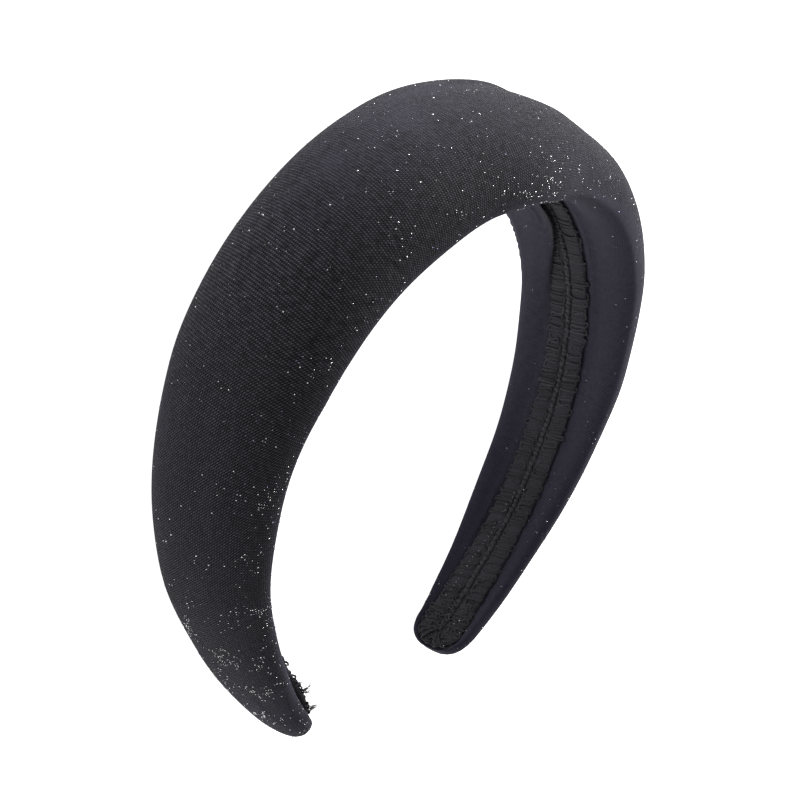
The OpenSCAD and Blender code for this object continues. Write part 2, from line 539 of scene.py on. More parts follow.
    @cached_property
    def rest(self) -> tuple[float, float, float]:
        """The pose on the back edge, worked out from the solid's own rings.

        The tilt is the steepest at which no ring lies lower than the crown's back edge.

        Returns:
            Tilt in radians, then the middle and the floor height that the row frame starts from.
        """
        turn_in = (self.half_len - self.tip_round) / self.half_len
        ends = np.array(self.end_rings) * self.tip_round / self.half_len
        u = np.concatenate([turn_in * np.arange(self.line_rings + 1) / self.line_rings, turn_in + ends])
        _, z, _ = self.line(u * self.half_len)
        tilt = float(np.arctan((self.half_w(np.zeros(1)) - self.half_w(u[1:])) / -z[1:]).min())
        angles = self.roll_points[:, 0]
        outline = np.concatenate([
            self.dome_outline(u, self.dome_steps),
            self.roll_outline(u, angles, Side.BACK),
            self.roll_outline(u, angles, Side.FRONT),
        ], axis=1)
        turned = self.turned(self.worn((u * self.half_len)[:, None], outline[..., 0], outline[..., 1]), tilt)
        y, z = turned[..., 1], turned[..., 2]
        return tilt, float(y.min() + y.max()) / 2, float(z.min()) + self.rest_press

    def turned(self, points: Array, tilt: float) -> Array:
        """Worn-frame points or directions turned onto the back edge.

        Args:
            points: (..., 3) array in the worn frame.
            tilt: how far the crown leans back, in radians.

        Returns:
            (..., 3) array along the row frame's axes.
        """
        x, y, z = np.moveaxis(points, -1, 0)
        sin, cos = np.sin(tilt), np.cos(tilt)
        return np.stack([x, z * cos + y * sin, z * sin - y * cos], axis=-1)

    def laid(self, points: Array, press: float = 0.0) -> Array:
        """Worn-frame points in millimetres laid on the surface, in row metres.

        Args:
            points: worn-frame points.
            press: radius over which what would be under the surface is pressed flat; 0 leaves it.

        Returns:
            Row-frame points in metres.
        """
        tilt, middle, floor = self.rest
        row = self.turned(points, tilt) - np.array([0.0, middle, floor])
        if press:
            row[..., 2] = (row[..., 2] + np.sqrt(row[..., 2] ** 2 + press ** 2)) / 2
        return row * MM

    def place(self, s: Array, across: Array, out: Array) -> Array:
        """Row-frame points in metres at a place on the band."""
        return self.laid(self.worn(s, across, out))

    def outward(self, s: Array) -> Array:
        """Row-frame direction away from the head at a signed distance along the line.

        Args:
            s: signed distances along the line.

        Returns:
            (..., 3) array of unit directions.
        """
        _, _, slope = self.line(np.abs(s))
        side = np.where(s < 0, -1.0, 1.0)
        worn = np.stack([side * np.sin(slope), 0 * slope, np.cos(slope)], axis=-1)
        return self.turned(worn, self.rest[0])


# ---------------------------------------------------------------- shader language


class Signal:
    """A node's output that adds Math nodes when it is used in a Python expression."""

    def __init__(self, sheet: "NodeSheet", socket: bpy.types.NodeSocket) -> None:
        """Keeps the node sheet and the output socket."""
        self.sheet = sheet
        self.socket = socket

    def math(self, operation: str, *others: Fed) -> "Signal":
        """A Math node of that operation on this signal and the others."""
        return self.sheet.math(operation, self, *others)

    def __add__(self, other: Fed) -> "Signal":
        """self + other."""
        return self.math("ADD", other)

    def __sub__(self, other: Fed) -> "Signal":
        """self - other."""
        return self.math("SUBTRACT", other)

    def __rsub__(self, other: Fed) -> "Signal":
        """other - self."""
        return self.sheet.math("SUBTRACT", other, self)

    def __mul__(self, other: Fed) -> "Signal":
        """self * other."""
        return self.math("MULTIPLY", other)

    def __truediv__(self, other: Fed) -> "Signal":
        """self / other."""
        return self.math("DIVIDE", other)

    def __pow__(self, other: Fed) -> "Signal":
        """self ** other."""
        return self.math("POWER", other)

    def __gt__(self, other: Fed) -> "Signal":
        """1 where self is greater than other, else 0."""
        return self.math("GREATER_THAN", other)

    def spread(self, ends: tuple[float, float]) -> "Signal":
        """A signal from 0 to 1 spread out between two ends."""
        return self * (ends[1] - ends[0]) + ends[0]

    __radd__ = __add__
    __rmul__ = __mul__


class NodeSheet:
    """One material's node tree, with its Principled BSDF."""

    def __init__(self, name: str) -> None:
        """Makes a new material of that name.

        Args:
            name: the material's name.
        """
        self.material = bpy.data.materials.new(name)
        self.material.use_nodes = True
        self.nodes = self.material.node_tree.nodes
        self.links = self.material.node_tree.links
        self.shader = self.nodes["Principled BSDF"]

    def feed(self, socket: bpy.types.NodeSocket, value: Fed) -> None:
        """Links a signal to an input socket, or sets its value.

        Args:
            socket: the input.
            value: what goes in; a colour gets its alpha of 1.
        """
        if isinstance(value, Signal):
            self.links.new(value.socket, socket)
        elif isinstance(value, tuple) and len(value) == 3 and socket.type == "RGBA":
            socket.default_value = (*value, 1.0)
        else:
            socket.default_value = value

    def add(self, kind: str, settings: dict, inputs: dict, output: int | str = 0) -> Signal:
        """Any node: its settings first, then its sockets.

        Args:
            kind: the node's type.
            settings: attributes of the node, and "stops" for the stops of a colour ramp.
            inputs: values or signals by socket name or number.
            output: name or number of the output to return.

        Returns:
            The signal of that output.
        """
        node = self.nodes.new(kind)
        for key, value in settings.items():
            if key == "stops":
                ramp = node.color_ramp
                for at, colour in value[2:]:
                    ramp.elements.new(at)
                for element, (at, colour) in zip(ramp.elements, sorted(value)):
                    element.position, element.color = at, (*colour, 1.0)
            else:
                setattr(node, key, value)
        for key, value in inputs.items():
            self.feed(node.inputs[key], value)
        return Signal(self, node.outputs[output])

    def math(self, operation: str, *values: Fed) -> Signal:
        """A Math node on signals and numbers."""
        return self.add("ShaderNodeMath", {"operation": operation}, dict(enumerate(values)))

    def mix(self, factor: Fed, first: Fed, second: Fed) -> Signal:
        """Colour between two colours."""
        settings = {"data_type": "RGBA", "clamp_factor": True}
        return self.add("ShaderNodeMix", settings, {0: factor, 6: first, 7: second}, 2)

    def own_map(self) -> tuple[Signal, Signal]:
        """The two coordinates of the piece's own map.

        Returns:
            Running length along and distance across.
        """
        vector = self.add("ShaderNodeUVMap", {"uv_map": CLOTH_UV}, {})
        parts = self.add("ShaderNodeSeparateXYZ", {}, {0: vector})
        return parts, Signal(self, parts.socket.node.outputs[1])

    def kept(self, attribute: str) -> Signal:
        """An attribute that is kept at each point of the piece."""
        return self.add("ShaderNodeAttribute", {"attribute_name": attribute}, {}, "Fac")

    def place(self) -> Signal:
        """The piece's own object coordinates."""
        return self.add("ShaderNodeTexCoord", {}, {}, "Object")

    def noise(self, where: Signal, scale: float, detail: float = 2.0) -> Signal:
        """Soft noise between 0 and 1 at a scale per metre."""
        return self.add("ShaderNodeTexNoise", {}, {"Vector": where, "Scale": scale, "Detail": detail})

    def bump(self, height: Signal, depth: float, strength: float = 1.0) -> Signal:
        """Normal bent by a height, where depth is how far a height of 1 stands out, in metres."""
        return self.add("ShaderNodeBump", {}, {"Height": height, "Distance": depth, "Strength": strength})

    def finish(self, **sockets: Fed) -> bpy.types.Material:
        """Sets the shader's sockets by name, with _ for a space, and returns the material.

        Args:
            **sockets: values or signals by the socket's name.

        Returns:
            The finished material.
        """
        for key, value in sockets.items():
            self.feed(self.shader.inputs[key.replace("_", " ")], value)
        return self.material


# ---------------------------------------------------------------- finishes


@dataclass(frozen=True)
class KnitFinish:
    """Fine near-black jersey: columns of V stitches across the band.

    The map is running length along the band and across the cloth, both in decimetres. The stitch
    columns count up by columns_along per millimetre along and columns_across across, and the rows by
    rows_across and rows_along. The kept tone is 1 on the inner side, where the cloth is stretched smooth.
    From askew_from down the left arm, over askew_length, the cloth is drawn askew.
    """

    # valley is the painted shade between the stitches and crest their painted highlight; the smooth pair does
    # the same on the inner side.
    valley: Colour = (0.0020, 0.0019, 0.0025)
    crest: Colour = (0.093, 0.089, 0.108)
    smooth_valley: Colour = (0.0210, 0.0190, 0.0290)
    smooth_crest: Colour = (0.0470, 0.0430, 0.0620)
    painted_shade_colour: Colour = (0.0064, 0.0055, 0.0122)
    highlight_valley: Colour = (0.0300, 0.0285, 0.0335)
    highlight_crest: Colour = (0.1100, 0.1045, 0.1190)
    columns_along: float = 1.60
    columns_across: float = -0.27
    rows_across: float = 1.73
    rows_along: float = 0.07
    bright_leg: float = 0.84
    bright_ground: float = 0.16
    dull_leg: float = 0.12
    askew_from: float = 62.0
    askew_length: float = 30.0
    stitch_spread: tuple[float, float] = (0.7, 1.3)
    patch_spread: tuple[float, float] = (0.88, 1.12)
    grain_spread: tuple[float, float] = (0.6, 1.4)
    streaks: float = 2.6
    relief: float = 0.00026
    sheen: float = 0.055
    sheen_tint: Colour = (0.84, 0.82, 1.0)

    def material(self) -> bpy.types.Material:
        """The cover's material.

        A stitch's place is the fraction of the column and row counts. Each half of a column is a rounded
        leg, whose rows are shifted by up to half a row towards the column's middle, which makes the V.
        The light on the stitches is painted into the colour: painted shade between them and a painted
        highlight on each leg's rounded middle, stronger on one leg of each V, which lies flatter. Down
        the left arm the cloth is drawn askew, so there the rows run on through both legs as one diagonal.
        A draw for each stitch, two noises and streaks across the band, which fade where it is askew, make
        this painted light uneven.

        Returns:
            The material: valley to crest colour by that painted light, then the smooth look by the kept
            tone, painted shade by the kept shade and a painted highlight by the kept light.
        """
        sheet = NodeSheet("knit_cover")
        along, across = sheet.own_map()
        s, a = along * MAP_UNIT, across * MAP_UNIT
        column = s * self.columns_along + a * self.columns_across
        row = a * self.rows_across + s * self.rows_along
        part = column.math("FRACT")
        bend = (part * 2 - 1).math("ABSOLUTE")
        lean = row + (1 - bend) * 0.5
        leg = (part * 2).math("FRACT")
        rounded = leg * (1 - leg) * 3.0 + 0.25
        height = rounded * ((lean * FULL_TURN).math("COSINE") * 0.42 + 0.58)
        wave = (((row + part) * FULL_TURN).math("COSINE") * 0.499 + 0.5) ** 1.5
        askew = (s + self.askew_from) / -self.askew_length
        askew = askew.math("MAXIMUM", 0.0).math("MINIMUM", 1.0)
        cell = sheet.add("ShaderNodeCombineXYZ", {}, {0: column.math("FLOOR"), 1: (lean + 0.5).math("FLOOR")})
        chance = sheet.add("ShaderNodeTexWhiteNoise", {"noise_dimensions": "2D"}, {"Vector": cell})
        patch = sheet.noise(sheet.place(), 120.0, 6.0)
        grain = sheet.noise(sheet.place(), 850.0, 1.0)
        drawn = sheet.add("ShaderNodeCombineXYZ", {}, {0: along, 1: across * 0.35})
        streak = (sheet.noise(drawn, 130.0, 1.0) - 0.5) * (1 - askew) * self.streaks + 1
        dull = part > 0.5
        bright_leg = wave * (self.bright_leg + askew * 0.25) + self.bright_ground * (1 - askew * 0.9)
        dull_leg = self.dull_leg * (1 - askew) + wave * askew * 0.6
        legs = (dull * dull_leg + (1 - dull) * bright_leg) * (1 - askew * 0.22)
        # lit: share of painted highlight over painted shade at each point of the knit.
        lit = rounded * legs * chance.spread(self.stitch_spread) * patch.spread(self.patch_spread)
        lit = lit * grain.spread(self.grain_spread) * streak
        inner = sheet.kept(TONE)
        smooth = sheet.mix(lit * 1.2 + patch * 0.18 + grain * 0.1, self.smooth_valley, self.smooth_crest)
        colour = sheet.mix(inner, sheet.mix(lit, self.valley, self.crest), smooth)
        # Painted shade by the kept shade, darker towards both tips.
        colour = sheet.mix(sheet.kept(SHADE), colour, self.painted_shade_colour)
        # Painted highlight by the kept light: on the fold's edge, behind the trim and over the hollow.
        worn = sheet.mix(lit * 0.9 + 0.2, self.highlight_valley, self.highlight_crest)
        return sheet.finish(
            Base_Color=sheet.mix(sheet.kept(LIGHT), colour, worn),
            Roughness=0.8,
            Specular_IOR_Level=0.08,
            Sheen_Weight=self.sheen,
            Sheen_Roughness=0.4,
            Sheen_Tint=self.sheen_tint,
            Normal=sheet.bump((height + chance * 0.4) * (1 - inner * 0.8), self.relief),
        )


@dataclass(frozen=True)
class ThreadFinish:
    """Loosely twisted dull thread: slanted plies along it, each with fine filaments."""

    name: str = "braid_thread"
    dark: Colour = (0.009, 0.0086, 0.0110)
    light: Colour = (0.056, 0.0532, 0.0645)
    ply: float = 0.42
    relief: float = 0.00010
    roughness: float = 0.55

    def material(self) -> bpy.types.Material:
        """The material of a thread whose map is running length in decimetres and angle in turns.

        The plies are the absolute sine of the length over the ply's pitch plus the turns, and a fine noise
        breaks each of them into filaments. Each ply's rounded top takes a painted highlight. The kept tone
        makes stretches of the thread lighter or darker, at random and, on the loops and the middle cord,
        with painted shade.

        Returns:
            The thread's material.
        """
        sheet = NodeSheet(self.name)
        along, turn = sheet.own_map()
        twist = along * (MAP_UNIT / self.ply) + turn * 2
        ply = (twist * np.pi).math("SINE").math("ABSOLUTE")
        filament = sheet.noise(sheet.place(), 2600.0, 2.0)
        # lit: painted highlight on the plies' tops, scaled by the kept tone.
        lit = (ply * 0.6 + 0.4) * (filament * 1.8 - 0.2) * (sheet.kept(TONE) * 1.1 + 0.3)
        return sheet.finish(
            Base_Color=sheet.mix(lit, self.dark, self.light),
            Roughness=self.roughness,
            Specular_IOR_Level=0.2,
            Sheen_Weight=0.05,
            Sheen_Roughness=0.5,
            Normal=sheet.bump(ply + filament, self.relief),
        )


@dataclass(frozen=True)
class TapeFinish:
    """Dark ground of the trim, a tight plain weave that shows only between the loops."""

    dark: Colour = (0.016, 0.0151, 0.0195)
    light: Colour = (0.034, 0.0320, 0.0402)
    pitch: float = 0.45
    relief: float = 0.00008

    def material(self) -> bpy.types.Material:
        """The tape's material: the sines of the map's two directions make a checker of rounded threads, with
        painted shade where they dip and a painted highlight where they rise.

        Returns:
            The material.
        """
        sheet = NodeSheet("braid_ground")
        along, across = sheet.own_map()
        warp, weft = ((way * (MAP_UNIT / self.pitch) * np.pi).math("SINE") for way in (across, along))
        height = warp * weft * 0.5 + 0.5
        return sheet.finish(
            Base_Color=sheet.mix(height, self.dark, self.light),
            Roughness=0.75,
            Specular_IOR_Level=0.2,
            Normal=sheet.bump(height, self.relief),
        )


@dataclass(frozen=True)
class GlitterFinish:
    """Bare metal flecks of the glitter threads, from violet to straw and silver by their kept tone.

    The stops are where a colour stands and the colour, the first and the last one first.
    """

    roughness: float = 0.22
    stops: tuple[tuple[float, Colour], ...] = (
        (0.0, (0.06, 0.055, 0.09)),
        (1.0, (1.0, 1.0, 1.0)),
        (0.35, (0.22, 0.20, 0.32)),
        (0.60, (0.50, 0.48, 0.46)),
        (0.78, (0.95, 0.94, 0.96)),
    )

    def material(self) -> bpy.types.Material:
        """The flecks' material, coloured by the kept tone.

        Returns:
            The material.
        """
        sheet = NodeSheet("glitter_thread")
        colour = sheet.add("ShaderNodeValToRGB", {"stops": self.stops}, {0: sheet.kept(TONE)})
        return sheet.finish(Base_Color=colour, Metallic=0.9, Roughness=self.roughness)


@dataclass(frozen=True)
class StudioFinish:
    """Plain pale sheet for the floor, lit from below like a light table so that shadows fade."""

    colour: Colour = (0.93, 0.93, 0.93)
    grain: float = 0.99
    glow: float = 1.0

    def material(self) -> bpy.types.Material:
        """The floor's material.

        Returns:
            The material.
        """
        sheet = NodeSheet("pale_floor")
        grain = sheet.noise(sheet.place(), 60.0, 4.0)
        tone = sheet.mix(grain, self.colour, tuple(self.grain * c for c in self.colour))
        return sheet.finish(
            Base_Color=tone,
            Roughness=0.9,
            Specular_IOR_Level=0.1,
            Emission_Color=(1.0, 1.0, 1.0),
            Emission_Strength=self.glow,
        )


# ---------------------------------------------------------------- sub-assemblies


@dataclass(frozen=True)
class PaddedCover:
    """The knitted cover, drawn tight over the pad: one closed skin with its fold and small unevenness."""

    form: BandForm
    line_steps: int = 230
    end_steps: int = 18
    columns: int = 144
    dome_steps: int = 160
    roll_steps: int = 60
    crowding: float = 0.5
    last_ring: float = 0.9995
    unevenness: float = 0.16
    pucker: float = 0.10
    pleat: float = 0.22
    pleat_pitch: float = 1.0
    pleat_reach: float = 3.0
    fillet: float = 0.5
    fillet_reach: float = 1.1
    tuck: float = 2.6
    press: float = 0.5

    @cached_property
    def swells(self) -> Array:
        """Rows of place along, place across, half length, half breadth and height of a swell or dent.

        Returns:
            (swells, 5) array in millimetres.
        """
        return np.array([
            [12.0, 7.0, 12.0, 10.0, 0.95],
            [31.0, -10.0, 10.0, 9.0, -0.60],
            [106.0, -17.0, 9.0, 8.0, 0.55],
            [138.0, 18.0, 20.0, 5.0, 0.85],
            [178.0, 12.7, 5.0, 5.0, -0.50],
            [-156.0, -16.0, 18.0, 5.0, 0.55],
            [-20.0, -34.0, 11.0, 6.0, -0.60],
            [-68.0, -28.0, 22.0, 6.0, 0.50],
            [-183.0, -11.0, 5.0, 5.0, -0.45],
        ])

    @cached_property
    def violet_patches(self) -> Array:
        """Rows as for a swell of where the outer side takes the inner side's smooth, violet look.

        Returns:
            (patches, 5) array, with a share instead of the height.
        """
        return np.array([
            [16.0, -31.0, 24.0, 11.0, 0.55],
            [-20.0, 3.0, 24.0, 13.0, 0.75],
            [-98.0, 14.0, 14.0, 8.0, 0.25],
            [-181.0, 0.0, 25.0, np.inf, 0.80],
        ])

    @cached_property
    def stations(self) -> Array:
        """Signed distances of the rings along the line, closer together at the rounded tips.

        Returns:
            The distances in millimetres, from the left tip to the right one.
        """
        f = self.form
        turn_in = f.half_len - f.tip_round
        ends = f.tip_round * np.sin(np.linspace(0, np.pi / 2, self.end_steps + 1)[1:]) * self.last_ring
        half = np.concatenate([turn_in * np.arange(self.line_steps + 1) / self.line_steps, turn_in + ends])
        return np.concatenate([-half[:0:-1], half])

    @cached_property
    def shares(self) -> Array:
        """Shares of the way round a ring, from the seat's middle back to it, crowded near the trim."""
        c = np.linspace(-1, 1, self.columns + 1)
        return (c + self.crowding * np.sin(np.pi * c) / np.pi + 1) / 2

    @cached_property
    def rings(self) -> Array:
        """The sections as rings of points, before they are placed along the line.

        On the right arm just under the crown the back half is tucked in a little.

        Returns:
            (rings, columns + 1, 3) array: across, outward and length across the cloth from the ridge.
        """
        f = self.form
        u = np.abs(self.stations) / f.half_len
        angles = np.linspace(4, 90, self.roll_steps)
        seat = np.zeros((len(u), 1, 2))
        front = f.roll_outline(u, angles, Side.FRONT)[:, ::-1]
        back = f.roll_outline(u, angles, Side.BACK)
        dome = f.dome_outline(u, self.dome_steps)
        rings = resample(np.concatenate([seat, front, dome, back, seat], axis=1), self.shares)
        to_ridge = np.concatenate([seat, front, dome[:, :self.dome_steps // 2 + 1]], axis=1)
        rings[..., 2] -= np.linalg.norm(np.diff(to_ridge, axis=1), axis=-1).sum(axis=1, keepdims=True)
        tuck = self.tuck * bell(self.stations[:, None] - 70, 20)
        rings[..., 0] -= tuck * ramp(rings[..., 0], 7, 13, 1.2)
        return rings

    def relief(self) -> Array:
        """How far the cloth stands out from the plain form.

        The swells and dents of the hand-made pad, a slow drift of its surface, short puckers along the
        band that fade away from the trim, pleats that run along the fold over the trim, and the cloth's
        rise against the trim's two edges.

        Returns:
            (rings, columns + 1) array in millimetres.
        """
        f, s = self.form, self.stations[:, None]
        across, out, a = np.moveaxis(self.rings, -1, 0)
        u = np.abs(s) / f.half_len
        seat, fold = f.half_seat(u), f.fold(u) * (across > 0)
        off_edge = np.abs(across) - seat
        free = np.clip(f.tip_share(u), 0, 1)
        slow = drift(3, (34, 26), s, a) * self.unevenness * (0.35 + 0.65 * free) + hills(self.swells, s, a)
        short = drift(11, (4.2, 60), s, a) * self.pucker * (out < 0.5) * bell(off_edge, 3.2)
        pleats = np.cos(FULL_TURN * (across + 0.25 * drift(5, (30, 30), s, 0 * a)) / self.pleat_pitch)
        pleats = self.pleat * pleats * fold * (out < -0.45 * f.roll(u))
        pleats = pleats * bell(across - (seat - 1.2), self.pleat_reach)
        rise = self.fillet * bell(off_edge, self.fillet_reach) * (1 - fold)
        rise = rise + 0.5 * bell(across + 5.0, 1.3) * bell(s - 68, 26)
        return (slow + short) * (np.abs(across) > seat * 0.9) + pleats + rise * (out < 0.4) * f.tip_share(u)

    def inner(self) -> Array:
        """Share from 0 on the outer side to 1 on the inner side: a soft step over the band's edges.

        On the right arm the cloth is drawn smooth higher up over the edge, and some patches of the outer
        side take the same smooth, violet look.

        Returns:
            (rings, columns) array.
        """
        s = self.stations[:, None]
        _, out, a = np.moveaxis(self.rings[:, :-1], -1, 0)
        far = ramp(s, 15, 45)
        over_edge = smooth_step(np.clip((1.2 + 6 * far - out) / (3 + 3 * far), 0, 1))
        violet = hills(self.violet_patches, s, a) + 0.55 * ramp(s, 28, 25)
        return np.clip(over_edge + violet * (0.8 + 0.5 * drift(61, (14, 14), s, a)), 0, 1)

    def shade(self) -> Array:
        """Share of painted shade on the cloth, which darkens both arms towards their tips.

        Returns:
            (rings, columns) array.
        """
        s = self.stations[:, None]
        dark = 0.62 * bell(s + 186, 36) + 0.10 * ramp(-s, 70, 50) + 0.36 * ramp(s, 108, 45)
        return np.broadcast_to(dark, self.rings[:, :-1, 0].shape)

    def crest(self) -> Array:
        """Share of the painted highlight on the fold's edge over the trim, behind it and over the hollow.

        Returns:
            (rings, columns) array.
        """
        f, s = self.form, self.stations[:, None]
        across, out, a = np.moveaxis(self.rings[:, :-1], -1, 0)
        u = np.abs(s) / f.half_len
        edge = f.half_seat(u) - f.fold_reach * f.fold(u)
        # Painted highlight along the fold's edge, made uneven by a drift.
        worn = 0.8 * bell(across - edge - 0.5, 1.1) * f.fold(u) * (0.75 + 0.25 * drift(51, (5, 5), s, across))
        behind = 0.14 * bell(s - 84, 30) * ramp(across, 4, 4)
        return (worn + behind) * (out < -0.4) + 0.30 * bell(s - 4, 18) * bell(a + 32, 7)

    @cached_property
    def surface(self) -> tuple[Array, Array]:
        """The finished skin: the rings placed along the line and moved out by the relief.

        Returns:
            Row-frame points in metres and outward normals, each (rings, columns, 3).
        """
        f = self.form
        points = f.worn(self.stations[:, None], self.rings[:, :-1, 0], self.rings[:, :-1, 1])
        normal = self.normals(points)
        points = f.laid(points + normal * self.relief()[:, :-1, None], self.press)
        return points, self.normals(points)

    @staticmethod
    def normals(points: Array) -> Array:
        """Unit normals of a grid that closes on itself along its rows: across the two grid directions."""
        around = np.roll(points, -1, axis=1) - np.roll(points, 1, axis=1)
        return unit(np.cross(np.gradient(points, axis=0), around))

    def build(self) -> bpy.types.Object:
        """The cover's mesh, closed by a small fan at each tip, with the cloth's own map.

        Returns:
            The dressed piece.
        """
        points, _ = self.surface
        rows, columns = points.shape[:2]
        ends = points[[0, -1]].mean(axis=1)
        first = np.arange(columns)
        beside = (first + 1) % columns
        top = (rows - 1) * columns
        fans = np.concatenate([
            np.stack([first, beside, np.full(columns, rows * columns)], axis=1),
            np.stack([beside + top, first + top, np.full(columns, rows * columns + 1)], axis=1),
        ])
        own = np.stack(np.broadcast_arrays(self.stations[:, None], self.rings[..., 2]), axis=-1)
        middle = np.broadcast_to(own[[0, -1]].mean(axis=1)[:, None], (2, columns, 2))
        fan_uv = [
            np.stack([own[0, :-1], own[0, 1:], middle[0]], axis=1),
            np.stack([own[-1, 1:], own[-1, :-1], middle[1]], axis=1),
        ]
        sheet_uv = own.reshape(-1, 2)[grid_faces(rows, columns + 1, False)[:, ::-1]]
        uv = np.concatenate([part.reshape(-1, 2) for part in (sheet_uv, *fan_uv)]) / MAP_UNIT
        kept = {TONE: self.inner(), LIGHT: self.crest(), SHADE: self.shade()}
        piece = make_mesh(
            "knit_cover",
            np.concatenate([points.reshape(-1, 3), ends]),
            [grid_faces(rows, columns, True)[:, ::-1], fans],
            uv,
            {name: np.append(values.ravel(), [0, 0]) for name, values in kept.items()},
        )
        piece.data.materials.append(KnitFinish().material())
        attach(piece, "root")
        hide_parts("padded_band")
        return piece

    def at(self, s: Array, a: Array) -> tuple[Array, Array, Array]:
        """Points and normals of the skin at places on the cloth, between the grid's points.

        Each place's own ring is moved up by a long way of its own, so one interpolation serves them all.

        Args:
            s: signed distances along the band.
            a: distances across the cloth from the ridge.

        Returns:
            Points, normals, and whether the place is on the cloth at all.
        """
        points, normal = self.surface
        rows, columns = points.shape[:2]
        i = np.clip(np.interp(s, self.stations, np.arange(rows)), 0, rows - 1.001)
        low = i.astype(int)
        length = self.rings[low, :, 2]
        lift = np.arange(len(s))[:, None] * 1000.0
        known = (length + lift).ravel()
        j = np.interp(a + lift[:, 0], known, np.tile(np.arange(columns + 1.0), len(s)))
        inside = (a > length[:, 0] + 1) & (a < length[:, -1] - 1)
        left = j.astype(int)
        x, y = (i - low)[:, None], (j - left)[:, None]
        left, right = left % columns, (left + 1) % columns

        def blend(grid: Array) -> Array:
            """Value between four grid points."""
            near, far = (grid[ring, left] * (1 - y) + grid[ring, right] * y for ring in (low, low + 1))
            return near * (1 - x) + far * x

        return blend(points), unit(blend(normal)), inside


